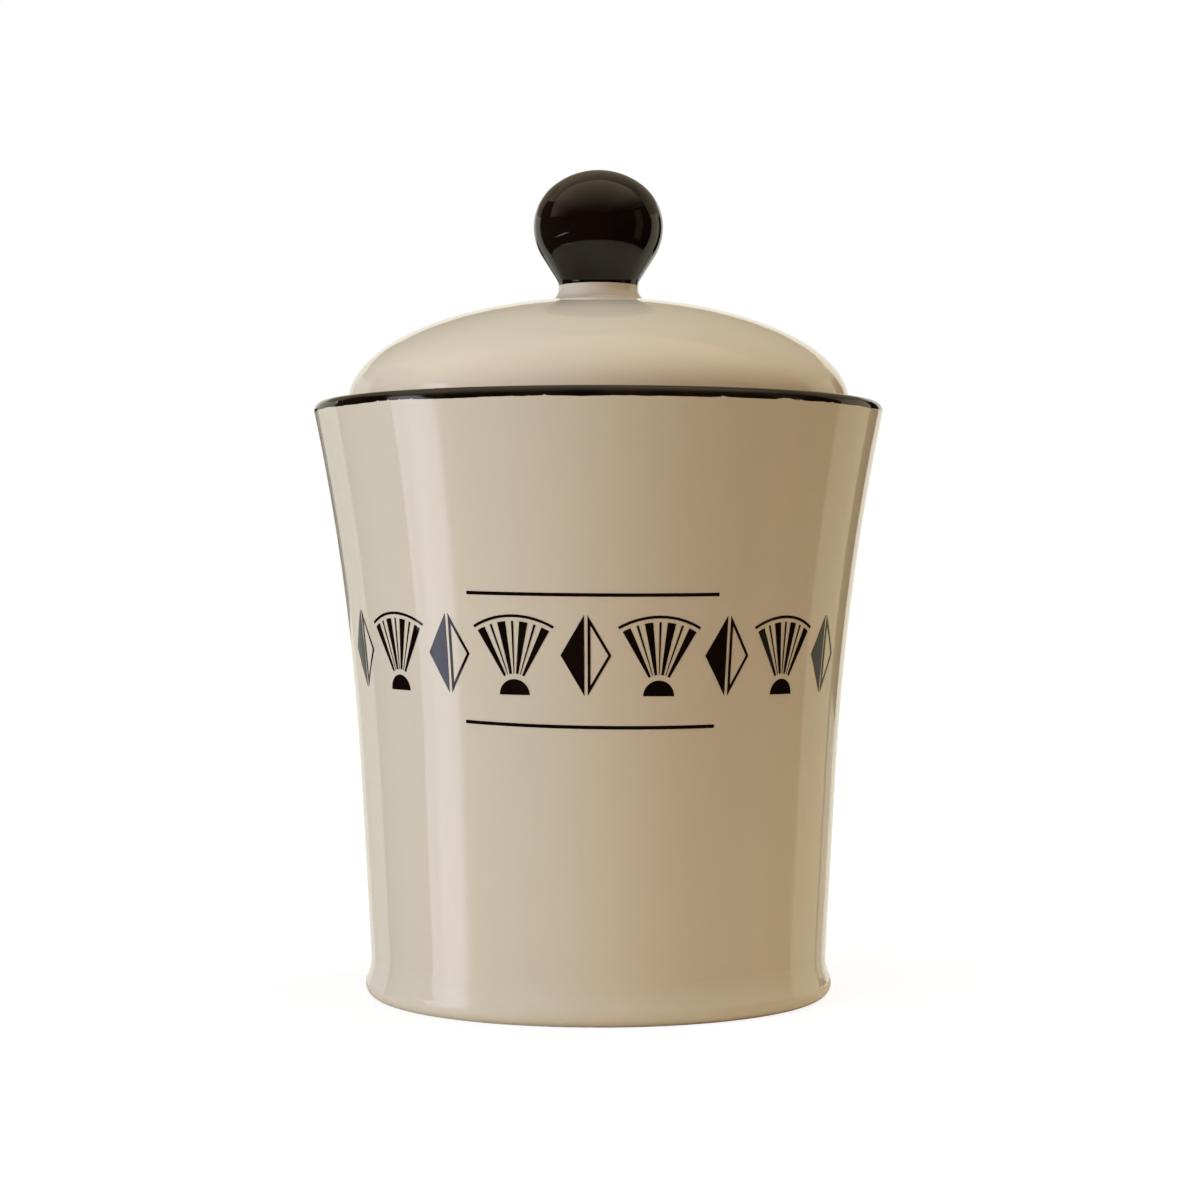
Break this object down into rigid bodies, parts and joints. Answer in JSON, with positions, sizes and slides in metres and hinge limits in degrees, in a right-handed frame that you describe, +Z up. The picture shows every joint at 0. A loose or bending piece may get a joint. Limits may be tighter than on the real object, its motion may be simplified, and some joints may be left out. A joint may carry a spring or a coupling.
{
  "type": "biscuit jar",
  "caption": "Flared glazed stoneware jar with a rolled foot, and a domed lift-off lid with a ball knob, a flange and a finned seal that hang inside the mouth.",
  "frame": {"origin": "on the jar's axis, at the plane of the foot ring that the jar stands on", "axes": "+Z up along the axis of the jar and lid; the piece is turned, so +X and +Y are equal, and the decorated front faces -Y"},
  "size_m": [0.18, 0.18, 0.2613],
  "materials": {
    "cream_glaze": "high gloss warm greige glaze over pale stoneware",
    "black_glaze": "high gloss brown-black glaze",
    "seal_silicone": "soft milky silicone rubber, satin"
  },
  "bodies": {
    "jar": {"jar_body": "cream_glaze"},
    "lid": {"lid": "cream_glaze", "lid_knob": "black_glaze", "lid_seal": "seal_silicone"}
  },
  "joints": [
    {"name": "lid_lift", "type": "slide", "parent": "jar", "child": "lid", "axis": [0, 0, 1], "range_m": [0, 0.15]}
  ]
}
